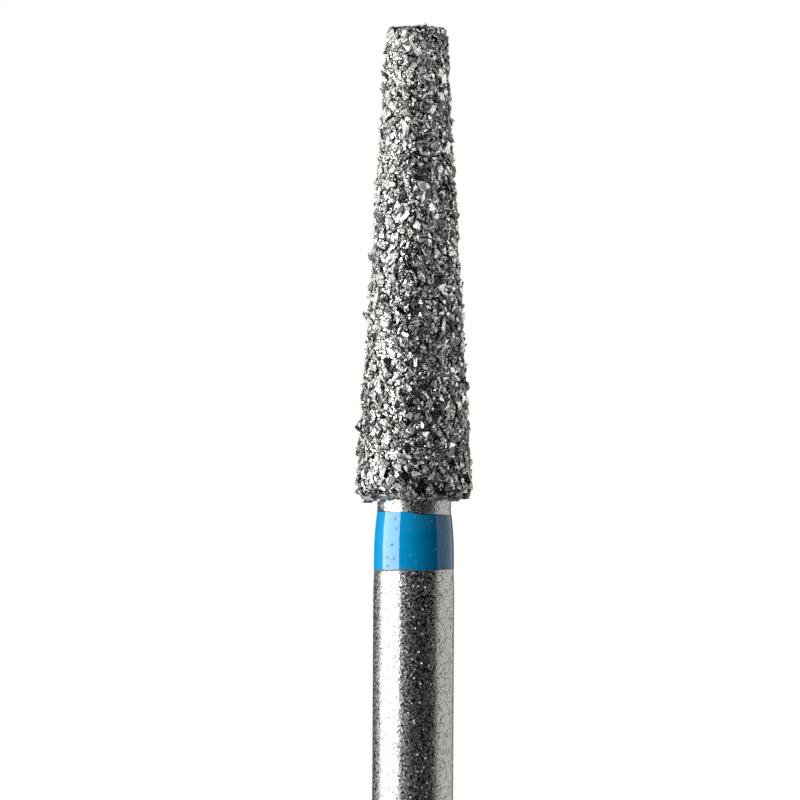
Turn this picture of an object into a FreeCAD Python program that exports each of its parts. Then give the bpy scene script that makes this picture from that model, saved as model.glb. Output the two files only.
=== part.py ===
"""Dental diamond bur: a flat-end tapered head on a friction-grip shank.

A turned steel blank carries everything. Its head is plated with nickel, which holds the diamond grains,
and a ring of blue lacquer lies in a shallow seat on its shoulder. Lengths are in millimetres. The origin is
the centre of the shank's end face, and +Z runs along the axis to the tip.
"""

import FreeCAD, Part
import math
import os
import random

import Sketcher

PARTS_FOLDER = "parts"
SAME = 1e-5
FULL_TURN = 360

# Driving dimensions. The head's are measured over the grain tips
DIMENSIONS = {
    "shank_diameter": 1.60,
    "shank_length": 11.72,
    "shank_end_chamfer": 0.20,
    "ring_length": 1.155,
    "ring_land": 0.26,
    "ring_thickness": 0.04,
    "ring_recess": 0.01,
    "shoulder_drop": 0.07,
    "neck_length": 0.22,
    "head_length": 9.41,
    "head_base_diameter": 2.35,
    "head_tip_diameter": 1.22,
    "head_base_rounding": 0.30,
    "head_tip_rounding": 0.16,
    "core_base_chamfer": 0.13,
    "core_tip_chamfer": 0.04,
    "bond_thickness": 0.06,
    "grain_height": 0.06,
    "grain_width": 0.20,
    "grain_gap": 0.004,
}

# Radii, and places along the axis, worked out from the dimensions above
DERIVED = {
    "shank_radius": "shank_diameter / 2",
    "neck_radius": "shank_radius - shoulder_drop",
    "land_radius": "shank_radius - ring_recess",
    "ring_bottom": "shank_length",
    "shoulder_bottom": "ring_bottom + ring_land",
    "ring_top": "ring_bottom + ring_length",
    "ring_inner_radius": "land_radius - ring_thickness",
    "ring_inner_top_radius": "neck_radius - ring_thickness",
    "head_bottom": "ring_top + neck_length",
    "head_top": "head_bottom + head_length",
    "bond_bottom": "head_bottom + grain_height",
    "bond_top": "head_top - grain_height",
    "bond_base_radius": "head_base_diameter / 2 - grain_height",
    "bond_tip_radius": "head_tip_diameter / 2 - grain_height",
    "bond_base_rounding": "head_base_rounding - grain_height",
    "bond_tip_rounding": "head_tip_rounding - grain_height",
    "core_bottom": "bond_bottom + bond_thickness",
    "core_top": "bond_top - bond_thickness",
    "core_base_radius": "bond_base_radius - bond_thickness",
    "core_tip_radius": "bond_tip_radius - bond_thickness",
}

# The grains are thrown in this order. Each row gives their size as a share of the grain width, their kind,
# and the throws at each square millimetre
GRAIN_SEED = 11
GRAIN_CLASSES = (
    (1.30, "wide_block", 8),
    (1.10, "block", 60),
    (0.85, "block", 40),
    (0.60, "pyramid", 120),
)
FORMS_PER_CLASS = 8

# Angles in degrees at which the corners of each kind's foot lie
FOOT_ANGLES = {
    "wide_block": (0, 90, 180, 270),
    "block": (0, 120, 240),
    "pyramid": (0, 120, 240),
}

# Two grains never fit with their centres nearer than this share of their reaches put together. Further
# apart, a straight gap is looked for across the line between them, turned by these angles in degrees
NEAREST = 0.7
GAP_TURNS = (0, -15, 15, -30, 30)


def add_dimensions(document):
    """The spreadsheet with one driving dimension or derived size in each row."""
    sheet = document.addObject("Spreadsheet::Sheet", "Sizes")
    row = 0
    for name, value in DIMENSIONS.items():
        row += 1
        sheet.set("A%d" % row, name)
        sheet.set("B%d" % row, str(value))
        sheet.setAlias("B%d" % row, name)
    for name, formula in DERIVED.items():
        row += 1
        sheet.set("A%d" % row, name)
        sheet.set("B%d" % row, "=" + formula)
        sheet.setAlias("B%d" % row, name)
    document.recompute()
    return sheet


def size_of(sheet, name):
    """The sheet's present value for a name, or 0 for a point on an axis."""
    return 0 if name == "0" else getattr(sheet, name)


def pin_point(sketch, geometry, end, across, up):
    """Ties one end of a line or arc to its named distances from the Z axis (across) and the origin (up)."""
    for kind, name, axis in (("DistanceX", across, -2), ("DistanceY", up, -1)):
        if name == "0":
            sketch.addConstraint(Sketcher.Constraint("PointOnObject", geometry, end, axis))
            continue
        distance = size_of(sketch.Document.Sizes, name)
        index = sketch.addConstraint(Sketcher.Constraint(kind, -1, 1, geometry, end, distance))
        sketch.setExpression("Constraints[%d]" % index, "Sizes." + name)


def add_profile(body, name, corners, rising_arc=None, falling_arc=None):
    """A closed sketch in the XZ plane through the corners, each a pair of names from the sheet.

    The side numbered rising_arc is round and runs on smoothly from the side before it. The side numbered
    falling_arc is round and runs smoothly into the side after it.
    """
    sketch = body.newObject("Sketcher::SketchObject", name)
    plane = [f for f in body.Origin.OriginFeatures if f.Role == "XZ_Plane"][0]
    sketch.AttachmentSupport = [(plane, "")]
    sketch.MapMode = "FlatFace"
    sheet = body.Document.Sizes
    points = [FreeCAD.Vector(size_of(sheet, x), size_of(sheet, z), 0) for x, z in corners]
    count = len(points)
    for side in range(count):
        start = points[side]
        end = points[(side + 1) % count]
        if side == rising_arc:
            sketch.addGeometry(smooth_arc(start, end), False)
        elif side == falling_arc:
            sketch.addGeometry(smooth_arc(end, start), False)
        else:
            sketch.addGeometry(Part.LineSegment(start, end), False)
    first_ends = [2 if side == falling_arc else 1 for side in range(count)]
    for side in range(count):
        following = (side + 1) % count
        smooth = following == rising_arc or side == falling_arc
        kind = "Tangent" if smooth else "Coincident"
        last_end = 3 - first_ends[side]
        joint = Sketcher.Constraint(kind, side, last_end, following, first_ends[following])
        sketch.addConstraint(joint)
    for side, (x, z) in enumerate(corners):
        pin_point(sketch, side, first_ends[side], x, z)
    return sketch


def smooth_arc(start, end):
    """An arc that leaves start straight up and bends inwards to end."""
    inwards = start.x - end.x
    upwards = end.y - start.y
    radius = (inwards**2 + upwards**2) / (2 * inwards)
    centre = FreeCAD.Vector(start.x - radius, start.y, 0)
    circle = Part.Circle(centre, FreeCAD.Vector(0, 0, 1), radius)
    return Part.ArcOfCircle(circle, 0, math.atan2(upwards, radius - inwards))


def turn_profile(body, name, sketch, kind="PartDesign::Revolution"):
    """Turns a profile round the Z axis, adding it to the body or, as a groove, cutting it away."""
    feature = body.newObject(kind, name)
    feature.Profile = sketch
    feature.ReferenceAxis = (sketch, ["V_Axis"])
    feature.Angle = FULL_TURN
    body.Document.recompute()
    return feature


def ease_edge(body, kind, name, radius, height, size):
    """Rounds or chamfers the circular edge that has that radius at that height."""
    sheet = body.Document.Sizes
    base = body.Tip
    edges = []
    for number, edge in enumerate(base.Shape.Edges, 1):
        if not isinstance(edge.Curve, Part.Circle):
            continue
        radius_fits = abs(edge.Curve.Radius - size_of(sheet, radius)) < SAME
        height_fits = abs(edge.Curve.Center.z - size_of(sheet, height)) < SAME
        if radius_fits and height_fits:
            edges.append("Edge%d" % number)
    eased = body.newObject("PartDesign::" + kind, name)
    eased.Base = (base, edges)
    eased.setExpression("Radius" if kind == "Fillet" else "Size", "Sizes." + size)
    body.Document.recompute()
    return eased


def make_steel_blank(document):
    """Shank, shoulder, neck and head core, turned from one bar, with a shallow seat for the ring."""
    body = document.addObject("PartDesign::Body", "steel_blank")
    corners = [
        ("0", "0"),
        ("shank_radius", "0"),
        ("shank_radius", "ring_bottom"),
        ("land_radius", "ring_bottom"),
        ("land_radius", "shoulder_bottom"),
        ("neck_radius", "ring_top"),
        ("neck_radius", "core_bottom"),
        ("core_base_radius", "core_bottom"),
        ("core_tip_radius", "core_top"),
        ("0", "core_top"),
    ]
    turn_profile(body, "blank_turning", add_profile(body, "blank_profile", corners, rising_arc=4))
    ease_edge(body, "Chamfer", "shank_end", "shank_radius", "0", "shank_end_chamfer")
    ease_edge(body, "Chamfer", "core_base", "core_base_radius", "core_bottom", "core_base_chamfer")
    ease_edge(body, "Chamfer", "core_tip", "core_tip_radius", "core_top", "core_tip_chamfer")
    turn_profile(body, "ring_seat", add_ring_profile(body, "seat_profile"), "PartDesign::Groove")
    return body


def add_ring_profile(body, name):
    """The ring's section, which is also the seat's: a thin band that follows the shoulder's curve."""
    corners = [
        ("ring_inner_radius", "ring_bottom"),
        ("land_radius", "ring_bottom"),
        ("land_radius", "shoulder_bottom"),
        ("neck_radius", "ring_top"),
        ("ring_inner_top_radius", "ring_top"),
        ("ring_inner_radius", "shoulder_bottom"),
    ]
    return add_profile(body, name, corners, rising_arc=2, falling_arc=4)


def make_colour_ring(document):
    """The ring of blue lacquer that fills the seat on the shoulder."""
    body = document.addObject("PartDesign::Body", "colour_ring")
    turn_profile(body, "ring_turning", add_ring_profile(body, "ring_profile"))
    return body


def make_bond_envelope(document):
    """The plated head as one full body, with both its edges rounded."""
    body = document.addObject("PartDesign::Body", "bond_envelope")
    corners = [
        ("0", "bond_bottom"),
        ("bond_base_radius", "bond_bottom"),
        ("bond_tip_radius", "bond_top"),
        ("0", "bond_top"),
    ]
    turn_profile(body, "envelope_turning", add_profile(body, "envelope_profile", corners))
    ease_edge(body, "Fillet", "bond_base", "bond_base_radius", "bond_bottom", "bond_base_rounding")
    ease_edge(body, "Fillet", "bond_tip", "bond_tip_radius", "bond_top", "bond_tip_rounding")
    return body


def make_nickel_bond(document, envelope, blank):
    """The plated nickel that covers the head core and holds the grains."""
    bond = document.addObject("Part::Cut", "nickel_bond")
    bond.Base = envelope
    bond.Tool = blank
    document.recompute()
    return bond


def ring_of_points(angles, spread, chooser):
    """Points round the Z axis near those angles, at uneven distances and at height 0."""
    step = FULL_TURN / len(angles)
    points = []
    for angle in angles:
        reach = spread * chooser.uniform(0.85, 1.0)
        turned = math.radians(angle + step * chooser.uniform(-0.12, 0.12))
        points.append(FreeCAD.Vector(reach * math.cos(turned), reach * math.sin(turned), 0))
    return points


def block_outlines(foot, angles, spread, height, chooser):
    """The faces over a foot whose top is turned by half a side and tilted."""
    half_side = FULL_TURN / len(angles) / 2
    top = ring_of_points([angle + half_side for angle in angles], spread, chooser)
    tilt = FreeCAD.Vector(chooser.uniform(-0.3, 0.3), chooser.uniform(-0.3, 0.3), 0)
    for point in top:
        point.z = height + tilt.dot(point)
    outlines = [top]
    for corner in range(len(foot)):
        following = (corner + 1) % len(foot)
        outlines.append([foot[corner], foot[following], top[corner]])
        outlines.append([top[corner], top[following], foot[following]])
    return outlines


def pyramid_outlines(foot, height, chooser):
    """The faces over a foot that meet in one leaning peak."""
    peak = FreeCAD.Vector(chooser.uniform(-0.3, 0.3) * height, 0, height)
    outlines = []
    for corner in range(len(foot)):
        following = (corner + 1) % len(foot)
        outlines.append([foot[corner], foot[following], peak])
    return outlines


def grain_form(number, kind, spread, height):
    """One of the grain shapes, standing on a flat foot at height 0."""
    chooser = random.Random(GRAIN_SEED + number)
    angles = FOOT_ANGLES[kind]
    foot = ring_of_points(angles, spread, chooser)
    own_height = height * chooser.uniform(0.8, 1.2)
    if kind == "pyramid":
        outlines = [foot] + pyramid_outlines(foot, own_height, chooser)
    else:
        outlines = [foot] + block_outlines(foot, angles, spread, own_height, chooser)
    faces = [Part.Face(Part.makePolygon(outline + outline[:1])) for outline in outlines]
    solid = Part.Solid(Part.Shell(faces))
    if solid.Volume < 0:
        solid.reverse()
    return solid


def random_seat(face, chooser):
    """A random point of a face, even by area, and the way the face looks there. None if it missed."""
    low_u, high_u, low_v, high_v = face.ParameterRange
    u = chooser.uniform(low_u, high_u)
    v = chooser.uniform(low_v, high_v)
    point = face.valueAt(u, v)
    if isinstance(face.Surface, Part.Plane):
        if not face.isInside(point, SAME, True):
            return None
    elif chooser.uniform(0, face.BoundBox.XMax) > math.hypot(point.x, point.y):
        return None
    return point, face.normalAt(u, v)


class Crust:
    """The grains placed so far, each kept in the cell of space that it stands in."""

    def __init__(self, cell, gap):
        self.cell = cell
        self.gap = gap
        self.cells = {}
        self.grains = []

    def key_of(self, point):
        return tuple(math.floor(part / self.cell) for part in point)

    def near(self, point):
        """The grains in the cells round a point."""
        x, y, z = self.key_of(point)
        steps = (-1, 0, 1)
        found = []
        for key in [(x + i, y + j, z + k) for i in steps for j in steps for k in steps]:
            found.extend(self.cells.get(key, ()))
        return found

    def has_room(self, point, normal, corners, reach):
        """Whether a grain with those corners stands clear of every other."""
        for other_point, other_corners, other_reach in self.near(point):
            between = other_point - point
            both = reach + other_reach
            if between.Length > both + self.gap:
                continue
            if between.Length < NEAREST * both:
                return False
            if not is_parted(corners, other_corners, between, normal, self.gap):
                return False
        return True

    def add(self, grain, point, corners, reach):
        self.grains.append(grain)
        self.cells.setdefault(self.key_of(point), []).append((point, corners, reach))


def is_parted(corners, others, between, normal, gap):
    """Whether a flat gap runs between two sets of corners, across or nearly across the given line."""
    for turn in GAP_TURNS:
        across = FreeCAD.Rotation(normal, turn).multVec(between).normalize()
        nearest = min(other.dot(across) for other in others)
        if nearest - max(corner.dot(across) for corner in corners) > gap:
            return True
    return False


def throw_grain(crust, face, forms, reach, neck_radius, chooser):
    """Throws one grain on a face, where it stays if it hit the face clear of the neck and other grains."""
    seat = random_seat(face, chooser)
    if seat is None:
        return
    point, normal = seat
    if normal.z < -0.5 and math.hypot(point.x, point.y) < neck_radius + reach:
        return
    form = chooser.choice(forms)
    turn = FreeCAD.Rotation(normal, chooser.uniform(0, FULL_TURN))
    stand = FreeCAD.Rotation(FreeCAD.Vector(0, 0, 1), normal)
    placement = FreeCAD.Placement(point, turn * stand)
    corners = [placement.multVec(vertex.Point) for vertex in form.Vertexes]
    if crust.has_room(point, normal, corners, reach):
        grain = form.copy()
        grain.Placement = placement
        crust.add(grain, point, corners, reach)


def scatter_grains(sheet, envelope):
    """Grains thrown on the plated faces, the large ones first."""
    chooser = random.Random(GRAIN_SEED)
    widest = sheet.grain_width * max(row[0] for row in GRAIN_CLASSES)
    crust = Crust(widest + sheet.grain_gap, sheet.grain_gap)
    for size, kind, throws in GRAIN_CLASSES:
        reach = sheet.grain_width * size / 2
        numbers = range(FORMS_PER_CLASS)
        forms = [grain_form(number, kind, reach, sheet.grain_height) for number in numbers]
        for face in envelope.Shape.Faces:
            for _ in range(round(throws * face.Area)):
                throw_grain(crust, face, forms, reach, sheet.neck_radius, chooser)
    return crust.grains


def make_diamond_grit(document, envelope):
    """The diamond grains, seated on the nickel, as one group of separate solids."""
    grit = document.addObject("Part::Feature", "diamond_grit")
    grit.Shape = Part.makeCompound(scatter_grains(document.Sizes, envelope))
    return grit


def check(document, parts):
    """Stops the script if an object failed or a piece isn't a sound solid."""
    for item in document.Objects:
        if "Invalid" in item.State or "Error" in item.State:
            raise RuntimeError(item.Name + " failed: " + ", ".join(item.State))
    for item in parts:
        shape = item.Shape
        if shape.isNull() or not shape.isValid() or not shape.Solids or shape.Volume <= 0:
            raise RuntimeError(item.Label + " has no sound solid")


def main():
    document = FreeCAD.newDocument("dental_bur")
    add_dimensions(document)
    blank = make_steel_blank(document)
    ring = make_colour_ring(document)
    envelope = make_bond_envelope(document)
    bond = make_nickel_bond(document, envelope, blank)
    grit = make_diamond_grit(document, envelope)
    document.recompute()
    parts = [blank, ring, bond, grit]
    check(document, parts)
    os.makedirs(PARTS_FOLDER, exist_ok=True)
    for item in parts:
        item.Shape.exportStep(os.path.join(PARTS_FOLDER, item.Label + ".step"))
        print(item.Label, "solids", len(item.Shape.Solids), "volume %.4f" % item.Shape.Volume)


main()
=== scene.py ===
"""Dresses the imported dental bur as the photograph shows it.

The turned steel, the plated nickel, the diamond grains and the lacquer ring are each built again with a
finer surface on the outlines of the CAD nodes. Lengths are in metres, and the bur's axis is the Z axis.
"""

import math
import random
from collections import namedtuple

import bmesh
import bpy
import numpy as np
from mathutils import Matrix, Quaternion, Vector, noise
from mathutils.kdtree import KDTree


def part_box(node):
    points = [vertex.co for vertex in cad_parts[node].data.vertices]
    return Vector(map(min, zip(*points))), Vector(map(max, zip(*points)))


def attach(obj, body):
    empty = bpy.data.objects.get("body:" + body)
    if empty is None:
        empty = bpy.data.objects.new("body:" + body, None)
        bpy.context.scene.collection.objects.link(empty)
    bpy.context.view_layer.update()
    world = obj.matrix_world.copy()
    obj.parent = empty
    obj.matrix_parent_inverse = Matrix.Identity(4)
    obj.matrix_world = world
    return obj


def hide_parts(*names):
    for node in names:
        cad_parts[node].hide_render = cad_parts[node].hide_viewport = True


MM = 0.001
TINY = 1e-8

# What the photograph gives, in its own frame of 800 by 800 pixels
PHOTO_SIDE = 800
SHANK_PIXELS = 81
AXIS_TOP = (416.8, 30)
AXIS_BOTTOM = (412.6, 800)
RING_MIDDLE_ROW = 541.2

# A long lens, in millimetres
LENS = 600
SENSOR = 36

# Turned steel. A corner's rounding takes at most MOST_OF_SIDE of each side beside it
SEGMENTS = 256
ANGLES = np.arange(SEGMENTS) * 2 * math.pi / SEGMENTS
EDGE_ROUNDING = 0.012 * MM
MOST_OF_SIDE = 0.45
SHANK_EASING = 0.45 * MM
STEEL_ROWS = 0.15 * MM
LAND_ROWS = 24

# Lacquer ring: how its edges run along the axis, how proud of the steel it lies, and the shares of its
# height at which its two inner rows lie
RING_TOP_SLANT = 0.045 * MM
RING_FOOT_SLANT = 0.025 * MM
RING_WAVE = 0.010 * MM
RING_WAVES = 2.2
RING_PROUD = 0.003 * MM
RING_SUNK = 0.010 * MM
RING_LIP = 0.040 * MM
RING_ROWS = 48
RING_INSIDE = (0.97, 0.03)

# Nickel between the grains
NICKEL_ROWS = 0.033 * MM
NICKEL_SUNK = 0.014 * MM
NODULE_SIZE = 0.042 * MM
NODULE_HEIGHT = 0.012 * MM
SMALL_NODULES = 2.1
SMALL_NODULE_SHARE = 0.5
CLIMB_HEIGHT = 0.034 * MM
CLIMB_REACH = 0.75
ENDS_SUNK = 0.030 * MM

# Diamond grains. Each class has a size and the throws at each square millimetre, the large ones first.
# A grain's tilt is in degrees, and it stands out from the surface by a share of its size
GRAIN_SEED = 5
GRAIN_FORMS = 60
GRAIN_CUTS = 9
GRAIN_CUT_DEPTHS = (0.30, 0.50)
GRAIN_MERGING = 0.02
GRAIN_SHAPE = (1.18, 0.95, 0.62)
GRAIN_TILT = 26
GRAIN_CLASSES = (
    (0.185 * MM, 14),
    (0.150 * MM, 60),
    (0.125 * MM, 150),
    (0.100 * MM, 260),
    (0.078 * MM, 260),
    (0.048 * MM, 900),
    (0.038 * MM, 500),
)
SIZE_SPREAD = (0.85, 1.15)
CHIP_SIZE = 0.056 * MM
CHIP_REACH = (0.35, 0.70)
CHIP_SKEW = 0.12
MOST_GRAINS = 24000
GRAIN_SPACING = 0.76
CHIP_SPACING = 0.60
STANDING_OUT = (-0.22, 0.16)

# Upward part of the outward direction, below which a surface belongs to the head's back
BACKWARDS = -0.5

# How the faces of the grains differ. A clean grain has faint specks and no very dark or pale face
MIRROR_SHARE = 0.45
GRAIN_TONE_SHARE = 0.3
CLEAN_SHARE = 0.80
CLEAN_SPECKS = 0.42
CLEAN_TONES = (0.22, 0.80)

# Marks on the ground steel: their sizes and depths, and the levels of noise where they begin and are full
STEEL_GRAIN = 0.027 * MM
STEEL_GRAIN_DEPTH = 0.004 * MM
PIT_SIZE = 0.038 * MM
PIT_LEVELS = (0.64, 0.70)
MARK_TURNS = (38, -52)
MARK_COLOUR = (0.15, 0.15, 0.145)
SCRATCH_WIDTH = 0.024 * MM
SCRATCH_STRETCH = 12
SCRATCH_LEVELS = (0.71, 0.77)
SCRATCH_DEPTH = 0.003 * MM
SCUFF_WIDTH = 0.022 * MM
SCUFF_STRETCH = 3.5
SCUFF_LEVELS = (0.56, 0.64)
DENT_SPACING = 0.12 * MM
DENT_RADIUS = 0.023 * MM
DENT_DEPTH = 0.013 * MM

# Lacquer's surface, the grey-blue that its thin foot takes in patches, and a dark brown line in patches
# along its top
LACQUER_CLOUD = 0.3 * MM
LACQUER_WAVE = 0.07 * MM
LACQUER_WAVE_HEIGHT = 0.0004 * MM
BUBBLE_SPACING = 0.17 * MM
BUBBLE_RADIUS = 0.026 * MM
BUBBLE_HEIGHT = 0.009 * MM
BUBBLE_COLOUR = (0.03, 0.55, 0.85)
FRINGE_PATCHES = 0.6 * MM
FRINGE_LEVELS = (0.43, 0.49)
FRINGE_FULL = 0.7
FOOT_FRINGE = 0.055 * MM
FOOT_FRINGE_COLOUR = (0.16, 0.20, 0.23)
TOP_FRINGE = 0.040 * MM
TOP_FRINGE_COLOUR = (0.05, 0.015, 0.004)

# Finest texture of the nickel and of the diamond
NICKEL_GRAIN = 0.024 * MM
NICKEL_GRAIN_HEIGHT = 0.009 * MM
NICKEL_PATCHES = 0.06 * MM
SPECK_SIZE = 0.026 * MM
SPECK_HEIGHT = 0.003 * MM
SPECK_STRENGTH = 0.6
SPECK_CONTRAST = (0.32, 0.68)
BLACKEST_LEVELS = (0.44, 0.32)
# Shade painted on the grains: near black at each grain's foot, where it meets the plating
FOOT_SHADE_LEVELS = (0.12, 0.50)
FOOT_SHADE_COLOUR = (0.003, 0.003, 0.003)

# Stops of colour ramps: a place on the ramp and a colour there, or one number for a grey
STEEL_TONES = ((0.36, (0.40, 0.40, 0.388)), (0.58, (0.56, 0.56, 0.545)))
STEEL_ROUGHNESS = ((0.0, 0.06), (1.0, 0.47))
LACQUER_TONES = ((0.3, (0.0, 0.345, 0.74)), (0.7, (0.0, 0.375, 0.79)))
# The nickel's darkest stop is painted shade, set where its grain dips lowest
NICKEL_TONES_AND_SHADE = ((0.30, 0.03), (0.40, (0.36, 0.36, 0.34)), (0.56, (0.90, 0.90, 0.85)))
NICKEL_ROUGHNESS = ((0.3, 0.10), (0.7, 0.28))
DIAMOND_TONES = (
    (0.26, 0.010),
    (0.40, (0.22, 0.22, 0.21)),
    (0.52, (0.46, 0.46, 0.44)),
    (0.66, (1.0, 1.0, 0.95)),
)
DIAMOND_ROUGHNESS = ((0.35, 0.03), (0.65, 0.18))

# Sockets of a Mix node that hold its two colours and its result
MIX_FIRST = 6
MIX_LAST = 7
MIX_RESULT = 2

# Studio. Azimuths are in degrees seen from above, 0 towards the camera and growing to its right, and
# a card's tones are given as (azimuth, red, green, blue) from one end to the other
STUDIO_REACH = 0.6
SOFTBOX = (-102, -41.5)
SOFTBOX_HALF_HEIGHT = 22
SOFTBOX_RADIANCE = 7.7
CARD_REACH = 0.0055
SURROUND_TOP = 0.0132
SURROUND = (
    (-41.5, 9, 9, 9),
    (-41.0, 9, 9, 9),
    (-40.9, 0.040, 0.050, 0.058),
    (20, 0.006, 0.006, 0.006),
    (66.0, 0.006, 0.006, 0.006),
    (66.5, 0.88, 0.88, 0.86),
    (143, 0.88, 0.88, 0.86),
    (143.5, 0.06, 0.06, 0.06),
    (228, 0.03, 0.03, 0.03),
    (240, 0.12, 0.12, 0.12),
    (258, 0.26, 0.26, 0.26),
)
COLLAR_TOP = 0.0155
COLLAR_TONE = 0.08
FRONT_TOP = 0.0235
FRONT = ((-31, 0.03, 0.03, 0.03), (41, 0.03, 0.03, 0.03))
DARK_ROOM_TOP = 2.0
DARK_ROOM = ((-41.5, 0.02, 0.02, 0.02), (95, 0.02, 0.02, 0.02))
CARD_STEPS = 600
WORLD_LIGHT = 0.33
FLOOR_RADIUS = 0.2
FLOOR_SIDES = 96
FLOOR_GREY = 0.4
FLOOR_GLOW = 0.80
FLOOR_ROUGHNESS = 0.9


Grain = namedtuple("Grain", "centre size outwards rise")

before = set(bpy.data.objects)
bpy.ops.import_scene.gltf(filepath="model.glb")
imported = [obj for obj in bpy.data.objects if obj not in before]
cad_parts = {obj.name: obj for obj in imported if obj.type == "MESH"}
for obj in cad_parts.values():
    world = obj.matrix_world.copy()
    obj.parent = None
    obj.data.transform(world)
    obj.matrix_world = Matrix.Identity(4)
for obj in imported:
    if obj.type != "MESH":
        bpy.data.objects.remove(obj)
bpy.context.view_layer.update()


# Outlines of turned pieces, as lists of (radius, height)


def seam_links(node):
    """Which points of the node's half section are joined, read where its surfaces have their seam."""
    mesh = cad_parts[node].data
    places = {}
    for vertex in mesh.vertices:
        x, y, z = vertex.co
        if abs(y) < TINY and x > -TINY:
            places[vertex.index] = (round(x, 8), round(z, 8))
    links = {}
    for edge in mesh.edges:
        first, last = edge.vertices
        if first in places and last in places and places[first] != places[last]:
            links.setdefault(places[first], []).append(places[last])
            links.setdefault(places[last], []).append(places[first])
    return links


def walk(links, start, choose, barred=()):
    """The points met from start on, taking the chosen one of those not met before."""
    met = [start]
    while True:
        onward = [place for place in links[met[-1]] if place not in met and place not in barred]
        if not onward:
            return met
        met.append(choose(onward))


def outer_outline(node):
    """The node's outline from its lowest point, by the outside, to its top."""
    links = seam_links(node)
    start = min(links, key=lambda place: (place[1], place[0]))
    met = walk(links, start, max)
    top = max(z for _, z in met)
    last = max(number for number, (_, z) in enumerate(met) if z == top)
    return met[: last + 1]


def inner_outline(node):
    """The node's outline from the point after its lowest, by the inside, to its top."""
    outside = outer_outline(node)
    return walk(seam_links(node), outside[0], min, barred=outside)[1:]


def rounded(outline, reach, steps=3):
    """The outline with each corner replaced by a small curve."""
    points = [Vector(point) for point in outline]
    result = [points[0]]
    for before, corner, after in zip(points, points[1:], points[2:]):
        start = corner + (before - corner) * min(MOST_OF_SIDE, reach / (before - corner).length)
        end = corner + (after - corner) * min(MOST_OF_SIDE, reach / (after - corner).length)
        for step in range(steps + 1):
            share = step / steps
            result.append(start.lerp(corner, share).lerp(corner.lerp(end, share), share))
    result.append(points[-1])
    return [tuple(point) for point in result]


def divided(outline, longest):
    """The outline with its sides divided so that none is longer than that."""
    result = [outline[0]]
    for (r0, z0), (r1, z1) in zip(outline, outline[1:]):
        parts = max(1, math.ceil(math.hypot(r1 - r0, z1 - z0) / longest))
        for part in range(1, parts + 1):
            share = part / parts
            result.append((r0 + (r1 - r0) * share, z0 + (z1 - z0) * share))
    return result


class Shoulder:
    """The land under the ring and the arc above it, which bends in to the neck."""

    def __init__(self):
        outline = outer_outline("colour_ring")
        self.bottom = outline[0][1]
        self.top = outline[-1][1]
        self.land_radius = max(r for r, _ in outline)
        self.land_top = max(z for r, z in outline if r > self.land_radius - TINY)
        self.neck_radius = max(r for r, z in outline if z > self.top - TINY)

    def radius(self, height):
        """The radius of the land or the arc at that height."""
        inwards = self.land_radius - self.neck_radius
        upwards = self.top - self.land_top
        bend = (inwards**2 + upwards**2) / (2 * inwards)
        risen = min(max(height - self.land_top, 0), upwards)
        return self.land_radius - bend + math.sqrt(bend**2 - risen**2)


# Meshes


def turned(outline):
    """Rows of points on the outline turned round the axis."""
    radii, heights = np.array(outline).T
    x = radii[:, None] * np.cos(ANGLES)
    y = radii[:, None] * np.sin(ANGLES)
    z = np.repeat(heights[:, None], SEGMENTS, axis=1)
    return np.stack([x, y, z], axis=-1)


def ways_out(outline):
    """The outward direction at each of the points that turned gives."""
    slopes = np.gradient(np.array(outline), axis=0)
    lengths = np.hypot(slopes[:, 0], slopes[:, 1])
    across = (slopes[:, 1] / lengths)[:, None]
    up = (-slopes[:, 0] / lengths)[:, None]
    return np.stack([across * np.cos(ANGLES), across * np.sin(ANGLES), up * np.ones(SEGMENTS)], axis=-1)


def skin(rows, looped=False):
    """Vertices and faces over rows of points. The rows end on the axis or, if looped, join up."""
    low = np.arange(rows.shape[0] * SEGMENTS).reshape(rows.shape[:2])
    high = np.roll(low, -1, axis=0)
    first, last = low[0], low[-1]
    if not looped:
        low, high = low[:-1], high[:-1]
    quads = np.stack([low, np.roll(low, -1, axis=1), np.roll(high, -1, axis=1), high], axis=-1)
    vertices = rows.reshape(-1, 3)
    faces = quads.reshape(-1, 4).tolist()
    if not looped:
        poles = np.array([[0, 0, rows[0, 0, 2]], [0, 0, rows[-1, 0, 2]]])
        start, end = len(vertices), len(vertices) + 1
        vertices = np.concatenate([vertices, poles])
        faces += [(start, b, a) for a, b in zip(first.tolist(), np.roll(first, -1).tolist())]
        faces += [(end, a, b) for a, b in zip(last.tolist(), np.roll(last, -1).tolist())]
    return vertices, faces


def new_piece(name, vertices, faces, node, material, smooth=True):
    """A mesh on the bur's one body that stands for a CAD node."""
    mesh = bpy.data.meshes.new(name)
    mesh.from_pydata(vertices.tolist(), [], faces)
    mesh.polygons.foreach_set("use_smooth", [smooth] * len(mesh.polygons))
    mesh.materials.append(material)
    mesh.update()
    piece = bpy.data.objects.new(name, mesh)
    bpy.context.scene.collection.objects.link(piece)
    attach(piece, "root")
    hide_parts(node)
    return piece


def write_numbers(piece, name, domain, numbers):
    """Writes numbers on the mesh, for its material to read."""
    piece.data.attributes.new(name, "FLOAT", domain).data.foreach_set("value", numbers)


def make_blank(shoulder, shank_radius):
    """The turned steel, whose shank eases in to the land under the ring."""
    cad = outer_outline("steel_blank")
    below = [point for point in cad if point[1] < shoulder.bottom - TINY]
    above = [point for point in cad if point[1] > shoulder.top + TINY]
    easing = shoulder.bottom - SHANK_EASING
    heights = np.linspace(shoulder.bottom, shoulder.top, LAND_ROWS)
    land = [(shoulder.radius(height) - RING_PROUD, height) for height in heights]
    outline = below + [(shank_radius, easing)] + land + above
    outline = divided(rounded(outline, EDGE_ROUNDING), STEEL_ROWS)
    vertices, faces = skin(turned(outline))
    steel = ground_steel(shank_radius)
    new_piece("ground_blank", vertices, faces, "steel_blank", steel)


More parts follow.
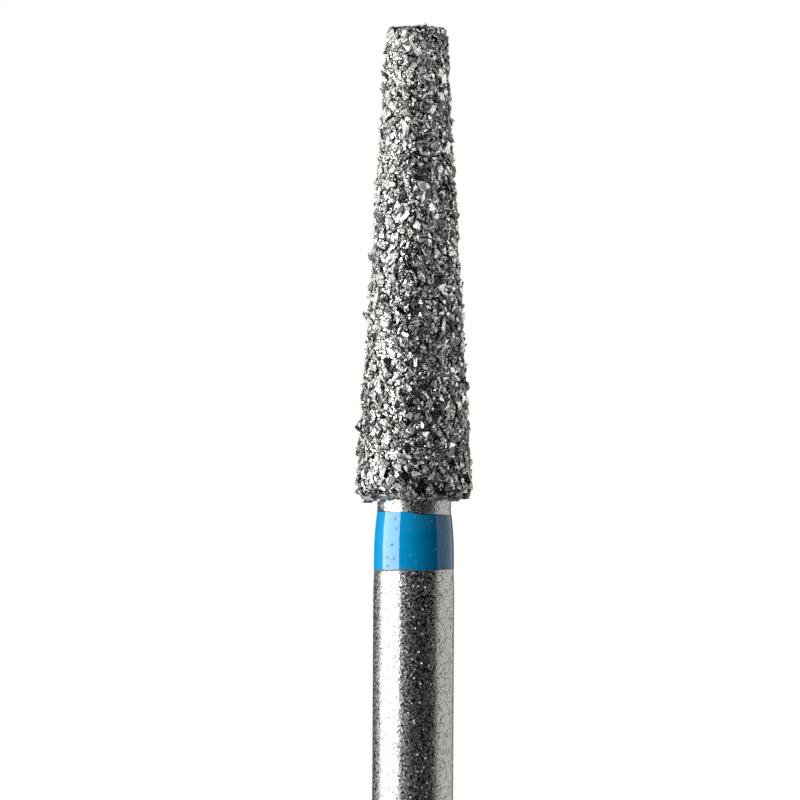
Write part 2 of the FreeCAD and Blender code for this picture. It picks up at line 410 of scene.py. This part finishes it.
def ring_edges(shoulder):
    """The heights of the ring's top and foot round the shoulder, which slant and wander a little."""
    leftwards = -np.cos(ANGLES)
    places = [Vector((math.cos(angle), math.sin(angle), 0)) for angle in ANGLES]
    wave = np.array([noise.noise(place * RING_WAVES) for place in places])
    tops = shoulder.top + RING_TOP_SLANT * leftwards + RING_WAVE * wave
    feet = shoulder.bottom - RING_FOOT_SLANT * leftwards + RING_WAVE * np.roll(wave, SEGMENTS // 3)
    return tops, feet


def make_ring(shoulder):
    """The lacquer, a thin band that thins out at its lips."""
    tops, feet = ring_edges(shoulder)
    rows = []
    for step in range(RING_ROWS + 1):
        share = 0.5 - 0.5 * math.cos(math.pi * step / RING_ROWS)
        rows.append((feet + (tops - feet) * share, True))
    for share in RING_INSIDE:
        rows.append((feet + (tops - feet) * share, False))
    points, to_top, to_foot = [], [], []
    for heights, outside in rows:
        to_top.append(tops - heights if outside else tops - feet)
        to_foot.append(heights - feet if outside else tops - feet)
        radii = np.array([shoulder.radius(height) for height in heights])
        if outside:
            to_lip = np.clip(np.minimum(tops - heights, heights - feet) / RING_LIP, 0, 1)
            radii = radii + RING_PROUD * (2 * np.sqrt(1 - (1 - to_lip) ** 2) - 2)
        else:
            radii = radii - RING_SUNK
        points.append(np.stack([radii * np.cos(ANGLES), radii * np.sin(ANGLES), heights], axis=-1))
    vertices, faces = skin(np.array(points), looped=True)
    piece = new_piece("lacquer_ring", vertices, faces, "colour_ring", blue_lacquer())
    write_numbers(piece, "to_top", "POINT", np.concatenate(to_top))
    write_numbers(piece, "to_foot", "POINT", np.concatenate(to_foot))


def grain_form(number):
    """A blocky crystal about one unit across, cut by flat faces: its vertices and faces."""
    chooser = random.Random(GRAIN_SEED + number)
    form = bmesh.new()
    bmesh.ops.create_cube(form, size=1)
    for _ in range(GRAIN_CUTS):
        direction = Vector([chooser.gauss(0, 1) for _ in range(3)]).normalized()
        parts = form.verts[:] + form.edges[:] + form.faces[:]
        place = direction * chooser.uniform(*GRAIN_CUT_DEPTHS)
        bmesh.ops.bisect_plane(
            form, geom=parts, dist=1e-5, plane_co=place, plane_no=direction, clear_outer=True
        )
        rim = [edge for edge in form.edges if edge.is_boundary]
        bmesh.ops.holes_fill(form, edges=rim)
    bmesh.ops.remove_doubles(form, verts=form.verts, dist=GRAIN_MERGING)
    form.verts.index_update()
    vertices = np.array([vertex.co for vertex in form.verts])
    faces = [[vertex.index for vertex in face.verts] for face in form.faces]
    form.free()
    return vertices, faces


def chip_form(number):
    """A small splinter about one unit across, with eight faces and uneven corners."""
    chooser = random.Random(GRAIN_SEED + number)
    vertices = []
    for corner in [(1, 0, 0), (0, 1, 0), (-1, 0, 0), (0, -1, 0), (0, 0, 1), (0, 0, -1)]:
        reach = chooser.uniform(*CHIP_REACH)
        skew = Vector([chooser.uniform(-CHIP_SKEW, CHIP_SKEW) for _ in range(3)])
        vertices.append(Vector(corner) * reach + skew)
    faces = []
    for first, last in ((0, 1), (1, 2), (2, 3), (3, 0)):
        faces += [[first, last, 4], [last, first, 5]]
    return np.array(vertices), faces


def throw_places(outline, throws, chooser):
    """Random places on the turned outline, even by area, each with its outward direction."""
    sides = list(zip(outline, outline[1:]))
    areas = [(a[0] + b[0]) * math.hypot(b[0] - a[0], b[1] - a[1]) for a, b in sides]
    count = round(throws / MM**2 * math.pi * sum(areas))
    for (r0, z0), (r1, z1) in chooser.choices(sides, areas, k=count):
        share = chooser.random()
        angle = chooser.uniform(0, 2 * math.pi)
        across = Vector((math.cos(angle), math.sin(angle), 0))
        up = Vector((0, 0, 1))
        point = across * (r0 + (r1 - r0) * share) + up * (z0 + (z1 - z0) * share)
        outwards = (across * (z1 - z0) - up * (r1 - r0)).normalized()
        yield point, outwards


def scatter(outline, neck_radius):
    """The grains, with the large ones placed first and none too near another."""
    chooser = random.Random(GRAIN_SEED)
    centres = np.zeros((MOST_GRAINS, 3))
    sizes = np.zeros(MOST_GRAINS)
    grains = []
    for size, throws in GRAIN_CLASSES:
        spacing = GRAIN_SPACING if size > CHIP_SIZE else CHIP_SPACING
        for point, outwards in throw_places(outline, throws, chooser):
            on_back = outwards.z < BACKWARDS
            if on_back and math.hypot(point.x, point.y) < neck_radius + size / 2:
                continue
            own_size = size * chooser.uniform(*SIZE_SPREAD)
            rise = own_size * chooser.uniform(*STANDING_OUT) - ENDS_SUNK * max(0, outwards.z)
            centre = point + outwards * rise
            count = len(grains)
            gaps = np.linalg.norm(centres[:count] - centre, axis=1)
            if np.any(gaps < spacing * (sizes[:count] + own_size) / 2):
                continue
            centres[count] = centre
            sizes[count] = own_size
            grains.append(Grain(centre, own_size, outwards, rise))
    return grains


def lying(outwards, chooser):
    """A random turn that leaves the grain lying nearly flat on the surface."""
    spin = Quaternion((0, 0, 1), chooser.uniform(0, 2 * math.pi))
    level = Vector([chooser.gauss(0, 1) for _ in range(2)] + [0]).normalized()
    tilt = Quaternion(level, math.radians(chooser.gauss(0, GRAIN_TILT)))
    return (outwards.to_track_quat("Z", "Y") @ tilt @ spin).to_matrix()


def face_looks(grain, count, chooser):
    """For each of a grain's faces its tone, 1 if it mirrors, and how strong its specks are."""
    grain_tone = chooser.random()
    clean = grain.size > CHIP_SIZE and chooser.random() < CLEAN_SHARE
    darkest, palest = CLEAN_TONES if clean else (0, 1)
    specks = CLEAN_SPECKS if clean else 1.0
    looks = []
    for _ in range(count):
        mirror = grain.outwards.z > BACKWARDS and chooser.random() < MIRROR_SHARE
        tone = GRAIN_TONE_SHARE * grain_tone + (1 - GRAIN_TONE_SHARE) * chooser.random()
        looks.append((darkest + (palest - darkest) * tone, float(mirror), specks))
    return looks


def make_grains(name, grains, forms, material):
    """Grains as closed crystals in one piece. The material reads the numbers written on them here."""
    chooser = random.Random(GRAIN_SEED)
    vertices, faces, looks, heights = [], [], [], []
    start = 0
    for grain in grains:
        form_vertices, form_faces = chooser.choice(forms)
        turn = lying(grain.outwards, chooser)
        shape = np.array(GRAIN_SHAPE) * [chooser.uniform(*SIZE_SPREAD) for _ in range(3)] * grain.size
        corners = (form_vertices * shape) @ np.array(turn).T
        vertices.append(corners + grain.centre)
        # Each corner's height over the surface, from which the material paints shade at the grain's foot
        risen = corners @ grain.outwards + grain.rise
        heights.append(risen / risen.max())
        faces += [[start + index for index in face] for face in form_faces]
        looks += face_looks(grain, len(form_faces), chooser)
        start += len(form_vertices)
    vertices = np.concatenate(vertices)
    piece = new_piece(name, vertices, faces, "diamond_grit", material, False)
    for number_name, numbers in zip(("tone", "mirror", "specks"), np.array(looks).T):
        write_numbers(piece, number_name, "FACE", numbers)
    write_numbers(piece, "height", "POINT", np.concatenate(heights))


def nickel_lift(point, tree, grains):
    """How far the nickel rises at a point, where the tree holds the grains' centres."""
    _, number, gap = tree.find(point)
    near = max(0, 1 - gap / (CLIMB_REACH * grains[number].size))
    place = Vector(point) / NODULE_SIZE
    nodules = noise.noise(place) + SMALL_NODULE_SHARE * noise.noise(place * SMALL_NODULES)
    return NODULE_HEIGHT * nodules + CLIMB_HEIGHT * near - NICKEL_SUNK


def make_nickel(outline, grains):
    """The plating: fine nodules all over it, and a collar where it climbs each grain."""
    outside = divided(outline, NICKEL_ROWS)[:-1]
    rows = turned(outside)
    outwards = ways_out(outside)
    tree = KDTree(len(grains))
    for number, grain in enumerate(grains):
        tree.insert(grain.centre, number)
    tree.balance()
    lifts = np.array([nickel_lift(point, tree, grains) for point in rows.reshape(-1, 3)])
    lifts = lifts.reshape(*rows.shape[:2], 1) - ENDS_SUNK * abs(outwards[..., 2:])
    inside = turned(inner_outline("nickel_bond")[::-1])
    vertices, faces = skin(np.concatenate([inside, rows + outwards * lifts]))
    new_piece("nickel_plating", vertices, faces, "nickel_bond", bright_nickel())


# Shader nodes


def set_inputs(tree, node, inputs):
    """Sets a node's inputs, each to a value or to another node's output."""
    for name, value in inputs.items():
        if isinstance(value, bpy.types.NodeSocket):
            tree.links.new(value, node.inputs[name])
        else:
            node.inputs[name].default_value = value


def add_node(tree, kind, inputs=None, **settings):
    """Adds a shader node with its inputs and settings."""
    node = tree.nodes.new("ShaderNode" + kind)
    for name, value in settings.items():
        setattr(node, name, value)
    set_inputs(tree, node, inputs or {})
    return node


def maths(tree, operation, *values, **settings):
    """The result of a sum on some values."""
    return add_node(tree, "Math", dict(enumerate(values)), operation=operation, **settings).outputs[0]


def most(tree, *values):
    """The largest of some values."""
    result = values[0]
    for value in values[1:]:
        result = maths(tree, "MAXIMUM", result, value)
    return result


def spread(tree, value, low, high, start=0.0, end=1.0, **settings):
    """The value carried from the range low to high to the range start to end, and kept inside it."""
    inputs = {"Value": value, "From Min": low, "From Max": high, "To Min": start, "To Max": end}
    return add_node(tree, "MapRange", inputs, **settings).outputs["Result"]


def bump(tree, height, depth, below=None, cut_in=False):
    """A surface raised by that depth, or cut in, where the height is 1, on top of another bump."""
    inputs = {"Height": height, "Strength": 1.0, "Distance": depth}
    if below is not None:
        inputs["Normal"] = below
    return add_node(tree, "Bump", inputs, invert=cut_in).outputs["Normal"]


def own_place(tree):
    """The place on the piece itself."""
    return add_node(tree, "TexCoord").outputs["Object"]


def painted(tree, name):
    """A number written on the mesh."""
    return add_node(tree, "Attribute", attribute_name=name).outputs["Fac"]


def speckle(tree, size, detail=2.0, roughness=0.5):
    """Noise whose spots are about that size, from 0 to 1."""
    inputs = {"Vector": own_place(tree), "Scale": 1 / size, "Detail": detail, "Roughness": roughness}
    return add_node(tree, "TexNoise", inputs).outputs["Fac"]


def ramp(tree, value, *stops):
    """A colour ramp through (place, colour) stops, where a colour may be one grey number."""
    node = add_node(tree, "ValToRGB", {"Fac": value})
    elements = node.color_ramp.elements
    while len(elements) < len(stops):
        elements.new(1.0)
    for element, (place, colour) in zip(elements, stops):
        element.position = place
        element.color = (*([colour] * 3 if isinstance(colour, (int, float)) else colour), 1)
    return node.outputs["Color"]


def blend_colours(tree, factor, first, last):
    """The first colour where the factor is 0, and the last where it is 1."""
    ends = [value if isinstance(value, bpy.types.NodeSocket) else (*value, 1) for value in (first, last)]
    inputs = {"Factor": factor, MIX_FIRST: ends[0], MIX_LAST: ends[1]}
    return add_node(tree, "Mix", inputs, data_type="RGBA").outputs[MIX_RESULT]


def spots(tree, place, size, low, high):
    """0 on most of the surface and 1 in small spots, where noise of that size is above the high value."""
    inputs = {"Vector": place, "Scale": 1 / size, "Detail": 0.0}
    return spread(tree, add_node(tree, "TexNoise", inputs).outputs["Fac"], low, high)


def dots(tree, place, spacing, radius):
    """Round dots of that radius, about that far apart: 1 in their inner third, falling to 0 outside."""
    distance = add_node(tree, "TexVoronoi", {"Vector": place, "Scale": 1 / spacing}).outputs["Distance"]
    edge = radius / spacing
    return spread(tree, distance, edge, edge / 3)


def unrolled(tree, radius, turn, stretch):
    """The turned surface laid flat in metres, turned in its plane and then shortened along its height."""
    parts = add_node(tree, "SeparateXYZ", {"Vector": own_place(tree)}).outputs
    angle = maths(tree, "ARCTAN2", parts["X"], maths(tree, "MULTIPLY", parts["Y"], -1.0))
    across = maths(tree, "MULTIPLY", angle, radius)
    flat = add_node(tree, "CombineXYZ", {"X": across, "Y": parts["Z"]}).outputs[0]
    inputs = {"Vector": flat, "Rotation": (0, 0, math.radians(turn)), "Scale": (1, stretch, 1)}
    return add_node(tree, "Mapping", inputs, vector_type="TEXTURE").outputs[0]


def crossed_spots(tree, radius, width, stretch, low, high):
    """Spots drawn out along two ways that cross on the turned surface."""
    ways = [unrolled(tree, radius, turn, stretch) for turn in MARK_TURNS]
    return [spots(tree, way, width, low, high) for way in ways]


# Materials


def new_material(name, **values):
    """A material with one main shader, whose plain values are set on its own sockets."""
    material = bpy.data.materials.new(name)
    material.use_nodes = True
    tree = material.node_tree
    shader = tree.nodes["Principled BSDF"]
    set_inputs(tree, shader, values)
    return material, tree, shader


def ground_steel(radius):
    """Satin steel of that radius with crossed scratches and scuffs, pits, and dents that glint."""
    material, tree, shader = new_material("ground_steel", Metallic=1.0)
    place = own_place(tree)
    pits = spots(tree, place, PIT_SIZE, *PIT_LEVELS)
    scratches = crossed_spots(tree, radius, SCRATCH_WIDTH, SCRATCH_STRETCH, *SCRATCH_LEVELS)
    marks = most(tree, pits, *scratches)
    scuffs = most(tree, *crossed_spots(tree, radius, SCUFF_WIDTH, SCUFF_STRETCH, *SCUFF_LEVELS))
    dents = dots(tree, place, DENT_SPACING, DENT_RADIUS)
    fine = speckle(tree, STEEL_GRAIN, detail=1.0)
    steel = ramp(tree, fine, *STEEL_TONES)
    rough = bump(tree, fine, STEEL_GRAIN_DEPTH)
    scratched = bump(tree, marks, SCRATCH_DEPTH, rough, cut_in=True)
    set_inputs(tree, shader, {
        "Base Color": blend_colours(tree, marks, steel, MARK_COLOUR),
        "Roughness": ramp(tree, scuffs, *STEEL_ROUGHNESS),
        "Normal": bump(tree, dents, DENT_DEPTH, scratched, cut_in=True),
    })
    return material


def blue_lacquer():
    """Glossy lacquer with a few bubbles, whose edges are tinged in patches."""
    material, tree, shader = new_material("blue_lacquer", Roughness=0.04, IOR=1.5)
    tone = ramp(tree, speckle(tree, LACQUER_CLOUD), *LACQUER_TONES)
    bubbles = dots(tree, own_place(tree), BUBBLE_SPACING, BUBBLE_RADIUS)
    tone = blend_colours(tree, bubbles, tone, BUBBLE_COLOUR)
    patchy = spread(tree, speckle(tree, FRINGE_PATCHES), *FRINGE_LEVELS)
    fringes = (("to_foot", FOOT_FRINGE, FOOT_FRINGE_COLOUR), ("to_top", TOP_FRINGE, TOP_FRINGE_COLOUR))
    for edge, reach, colour in fringes:
        near = spread(tree, painted(tree, edge), reach, FRINGE_FULL * reach)
        tone = blend_colours(tree, maths(tree, "MULTIPLY", near, patchy), tone, colour)
    wave = bump(tree, speckle(tree, LACQUER_WAVE, detail=1.0), LACQUER_WAVE_HEIGHT)
    set_inputs(tree, shader, {
        "Base Color": tone,
        "Normal": bump(tree, bubbles, BUBBLE_HEIGHT, wave),
    })
    return material


def bright_nickel():
    """Bright plating, finely grained, with shade painted dark into the dips of its grain."""
    material, tree, shader = new_material("bright_nickel", Metallic=1.0)
    # One noise gives the bump and the colour, so shade is painted darkest where the bump is lowest
    fine = speckle(tree, NICKEL_GRAIN, detail=1.0)
    set_inputs(tree, shader, {
        "Base Color": ramp(tree, fine, *NICKEL_TONES_AND_SHADE),
        "Roughness": ramp(tree, speckle(tree, NICKEL_PATCHES), *NICKEL_ROUGHNESS),
        "Normal": bump(tree, fine, NICKEL_GRAIN_HEIGHT),
    })
    return material


def diamond():
    """Grey crystal whose faces differ in tone. Some mirror, and all have shade painted dark towards their
    foot, where they meet the plating.
    """
    material, tree, shader = new_material("diamond", IOR=1.5)
    cloud = speckle(tree, SPECK_SIZE, detail=1.0, roughness=0.6)
    shift = spread(tree, cloud, *SPECK_CONTRAST, -SPECK_STRENGTH, SPECK_STRENGTH)
    mixed = maths(tree, "MULTIPLY_ADD", shift, painted(tree, "specks"), painted(tree, "tone"))
    colour = ramp(tree, mixed, *DIAMOND_TONES)
    # The darkest tones turn fully metallic on a near black colour, so they are black with no gloss
    blackest = spread(tree, mixed, *BLACKEST_LEVELS)
    # Painted shade: the colour falls to near black towards each grain's foot
    risen = spread(tree, painted(tree, "height"), *FOOT_SHADE_LEVELS, interpolation_type="SMOOTHSTEP")
    set_inputs(tree, shader, {
        "Base Color": blend_colours(tree, risen, FOOT_SHADE_COLOUR, colour),
        "Metallic": most(tree, painted(tree, "mirror"), blackest),
        "Roughness": ramp(tree, cloud, *DIAMOND_ROUGHNESS),
        "Normal": bump(tree, cloud, SPECK_HEIGHT),
    })
    return material


# Studio


def seen_directly(tree):
    """1 for rays from the camera and for those that glossy and clear surfaces send on, 0 for others."""
    path = add_node(tree, "LightPath").outputs
    either = maths(tree, "ADD", path["Is Camera Ray"], path["Is Glossy Ray"])
    return maths(tree, "ADD", either, path["Is Transmission Ray"], use_clamp=True)


def light_world():
    """White where it is seen or mirrored, and a plain soft light on everything else."""
    world = bpy.data.worlds.new("studio")
    world.use_nodes = True
    bpy.context.scene.world = world
    tree = world.node_tree
    strength = spread(tree, seen_directly(tree), 0.0, 1.0, WORLD_LIGHT, 1.0)
    set_inputs(tree, tree.nodes["Background"], {"Color": (1, 1, 1, 1), "Strength": strength})


def direction(azimuth):
    """The way to an azimuth of the studio."""
    angle = math.radians(azimuth)
    return Vector((math.sin(angle), -math.cos(angle), 0))


def hang_softbox(height):
    """A broad soft light on the left, level with the bur."""
    first, last = SOFTBOX
    light = bpy.data.lights.new("softbox", "AREA")
    light.shape = "RECTANGLE"
    light.size = 2 * STUDIO_REACH * math.tan(math.radians(last - first) / 2)
    light.size_y = 2 * STUDIO_REACH * math.tan(math.radians(SOFTBOX_HALF_HEIGHT))
    light.energy = SOFTBOX_RADIANCE * math.pi * light.size * light.size_y
    lamp = bpy.data.objects.new("softbox", light)
    way = direction((first + last) / 2)
    lamp.location = way * STUDIO_REACH + Vector((0, 0, height))
    lamp.rotation_euler = way.to_track_quat("Z", "Y").to_euler()
    lamp.visible_camera = False
    bpy.context.scene.collection.objects.link(lamp)


def card_mesh(name, tones, reach, levels):
    """A curved upright strip with its tones written on it."""
    azimuths = np.linspace(tones[0][0], tones[-1][0], CARD_STEPS + 1)
    stops, *channels = zip(*tones)
    colours = [np.interp(azimuths, stops, channel) for channel in channels] + [np.ones(CARD_STEPS + 1)]
    vertices = []
    for azimuth in azimuths:
        for level in levels:
            vertices.append(direction(azimuth) * reach + Vector((0, 0, level)))
    faces = [(2 * step, 2 * step + 1, 2 * step + 3, 2 * step + 2) for step in range(CARD_STEPS)]
    mesh = bpy.data.meshes.new(name)
    mesh.from_pydata(vertices, [], faces)
    shades = mesh.attributes.new("shade", "FLOAT_COLOR", "POINT")
    shades.data.foreach_set("color", np.repeat(np.stack(colours, axis=-1), 2, axis=0).ravel())
    return mesh


def hang_card(name, tones, reach, levels):
    """A curved upright card that the camera doesn't see and that casts no shadow."""
    mesh = card_mesh(name, tones, reach, levels)
    material = bpy.data.materials.new(name)
    material.use_nodes = True
    tree = material.node_tree
    shade = add_node(tree, "Attribute", attribute_name="shade").outputs["Color"]
    glow = add_node(tree, "Emission", {"Color": shade}).outputs[0]
    set_inputs(tree, tree.nodes["Material Output"], {"Surface": glow})
    mesh.materials.append(material)
    card = bpy.data.objects.new(name, mesh)
    card.visible_camera = False
    card.visible_shadow = False
    bpy.context.scene.collection.objects.link(card)
    return card


def hang_cards():
    """Cards near the bur, whose tones it mirrors, and a dark side of the room."""
    surround = hang_card("surround", SURROUND, CARD_REACH, (0, SURROUND_TOP))
    lifted = [(azimuth, *(max(tone, COLLAR_TONE) for tone in tones)) for azimuth, *tones in SURROUND]
    collar = hang_card("collar", lifted, CARD_REACH, (SURROUND_TOP, COLLAR_TOP))
    front = hang_card("front", FRONT, CARD_REACH, (COLLAR_TOP, FRONT_TOP))
    for card in (surround, collar, front):
        card.visible_diffuse = False
    room = hang_card("dark_room", DARK_ROOM, STUDIO_REACH, (0, DARK_ROOM_TOP))
    room.visible_glossy = False


def lay_floor():
    """A round pale floor that is white where it is seen, and still takes the bur's shadow."""
    form = bmesh.new()
    bmesh.ops.create_circle(form, cap_ends=True, radius=FLOOR_RADIUS, segments=FLOOR_SIDES)
    mesh = bpy.data.meshes.new("floor")
    form.to_mesh(mesh)
    form.free()
    material, tree, paper = new_material("floor_paper", Roughness=FLOOR_ROUGHNESS)
    set_inputs(tree, paper, {
        "Base Color": (FLOOR_GREY, FLOOR_GREY, FLOOR_GREY, 1),
        "Emission Color": (1, 1, 1, 1),
        "Emission Strength": maths(tree, "MULTIPLY", seen_directly(tree), FLOOR_GLOW),
    })
    mesh.materials.append(material)
    floor = bpy.data.objects.new("floor", mesh)
    bpy.context.scene.collection.objects.link(floor)


def set_camera(shoulder, shank_radius):
    """A level camera on the photograph's axis, scale and lean."""
    pixel = 2 * shank_radius / SHANK_PIXELS
    distance = PHOTO_SIDE * pixel * LENS / SENSOR
    (x0, y0), (x1, y1) = AXIS_TOP, AXIS_BOTTOM
    lean = math.atan((x0 - x1) / (y1 - y0))
    middle = PHOTO_SIDE / 2
    axis_column = x0 + (x1 - x0) * (middle - y0) / (y1 - y0)
    camera = bpy.data.objects.new("camera", bpy.data.cameras.new("camera"))
    camera.data.lens = LENS
    camera.data.sensor_width = SENSOR
    camera.data.clip_start = distance / 10
    camera.data.clip_end = distance * 10
    height = (shoulder.bottom + shoulder.top) / 2 + (RING_MIDDLE_ROW - middle) * pixel
    place = Matrix.Translation(((middle - axis_column) * pixel, -distance, height))
    upright = Matrix.Rotation(math.radians(90), 4, "X")
    camera.matrix_world = place @ upright @ Matrix.Rotation(lean, 4, "Z")
    bpy.context.scene.collection.objects.link(camera)
    bpy.context.scene.camera = camera


def make_head(shoulder):
    """The grains, the splinters between them, and the nickel that holds the grains."""
    outline = outer_outline("nickel_bond")
    outline.append((0, outline[-1][1]))
    grains = scatter(outline, shoulder.neck_radius)
    large = [grain for grain in grains if grain.size > CHIP_SIZE]
    small = [grain for grain in grains if grain.size <= CHIP_SIZE]
    crystal = diamond()
    make_grains("diamond_grains", large, [grain_form(number) for number in range(GRAIN_FORMS)], crystal)
    make_grains("diamond_chips", small, [chip_form(number) for number in range(GRAIN_FORMS)], crystal)
    make_nickel(outline, large)


shoulder = Shoulder()
shank_radius = max(r for r, z in outer_outline("steel_blank") if z < shoulder.bottom)
blank_low, blank_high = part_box("steel_blank")
set_camera(shoulder, shank_radius)
make_blank(shoulder, shank_radius)
make_ring(shoulder)
make_head(shoulder)
light_world()
hang_softbox((blank_low.z + blank_high.z) / 2)
hang_cards()
lay_floor()
bpy.context.scene.view_settings.view_transform = "Standard"
